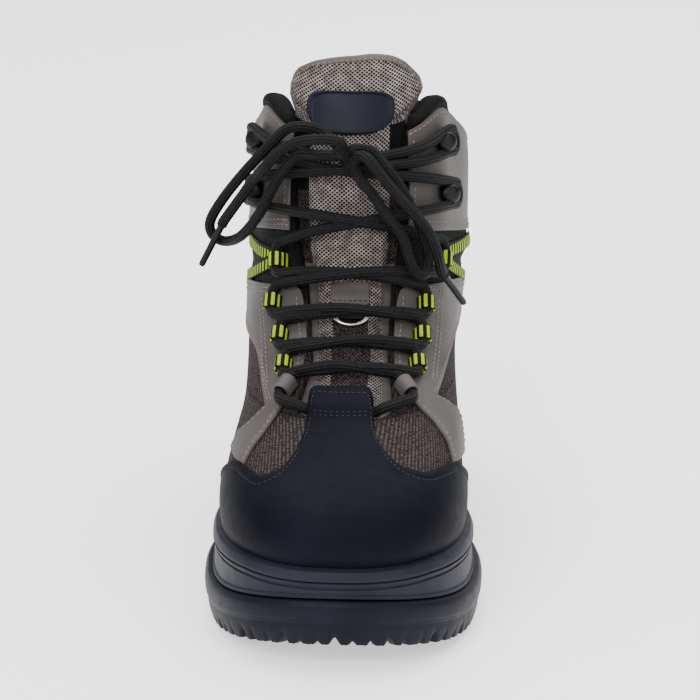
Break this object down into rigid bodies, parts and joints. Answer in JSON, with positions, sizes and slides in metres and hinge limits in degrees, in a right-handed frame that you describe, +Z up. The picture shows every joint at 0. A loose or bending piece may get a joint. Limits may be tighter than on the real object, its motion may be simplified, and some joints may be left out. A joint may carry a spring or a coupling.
{
  "type": "wading boot",
  "caption": "Right wading boot with a lugged cup sole, hollow mesh and leather upper, padded tongue and collar, webbing lace loops, speed hooks and a tied lace.",
  "frame": {"origin": "on the floor, on the flat tip of the lug under the middle of the heel", "axes": "-Y towards the toe, +X towards the big-toe (medial) side, +Z up"},
  "size_m": [0.1331, 0.3091, 0.222],
  "materials": {
    "outsole_rubber": "matt",
    "midsole_foam": "matt",
    "welt_rubber": "satin",
    "insole_foam": "matt",
    "upper_mesh": "woven",
    "lining_cloth": "napped",
    "cap_rubber": "satin",
    "counter_leather": "grained",
    "panel_leather": "grained",
    "tongue_mesh": "open mesh",
    "badge_rubber": "satin",
    "ring_steel": "polished",
    "webbing": "striped weave",
    "cord": "braided",
    "hook_metal": "gloss",
    "aglet_plastic": "gloss"
  },
  "bodies": {
    "root": {"aglet_lateral": "aglet_plastic", "aglet_medial": "aglet_plastic", "ankle_webbing_lateral": "webbing", "ankle_webbing_medial": "webbing", "bow_loop_lateral": "cord", "bow_loop_medial": "cord", "collar_lining": "lining_cloth", "cuff": "panel_leather", "eyestay_lateral": "panel_leather", "eyestay_medial": "panel_leather", "heel_counter": "counter_leather", "insole": "insole_foam", "lace_end_lateral": "cord", "lace_end_medial": "cord", "lace_hook_lateral_lower": "hook_metal", "lace_hook_lateral_upper": "hook_metal", "lace_hook_medial_lower": "hook_metal", "lace_hook_medial_upper": "hook_metal", "lace_knot": "cord", "lace_loop_lateral_1": "webbing", "lace_loop_lateral_2": "webbing", "lace_loop_lateral_3": "webbing", "lace_loop_medial_1": "webbing", "lace_loop_medial_2": "webbing", "lace_loop_medial_3": "webbing", "lace_tunnel_lateral": "panel_leather", "lace_tunnel_medial": "panel_leather", "lacing": "cord", "midsole": "midsole_foam", "outsole": "outsole_rubber", "tab_ring": "ring_steel", "toe_cap": "cap_rubber", "tongue": "tongue_mesh", "tongue_badge": "badge_rubber", "tongue_tab": "panel_leather", "upper": "upper_mesh", "vamp_strap_lateral": "panel_leather", "vamp_strap_medial": "panel_leather", "welt": "welt_rubber"}
  },
  "joints": []
}
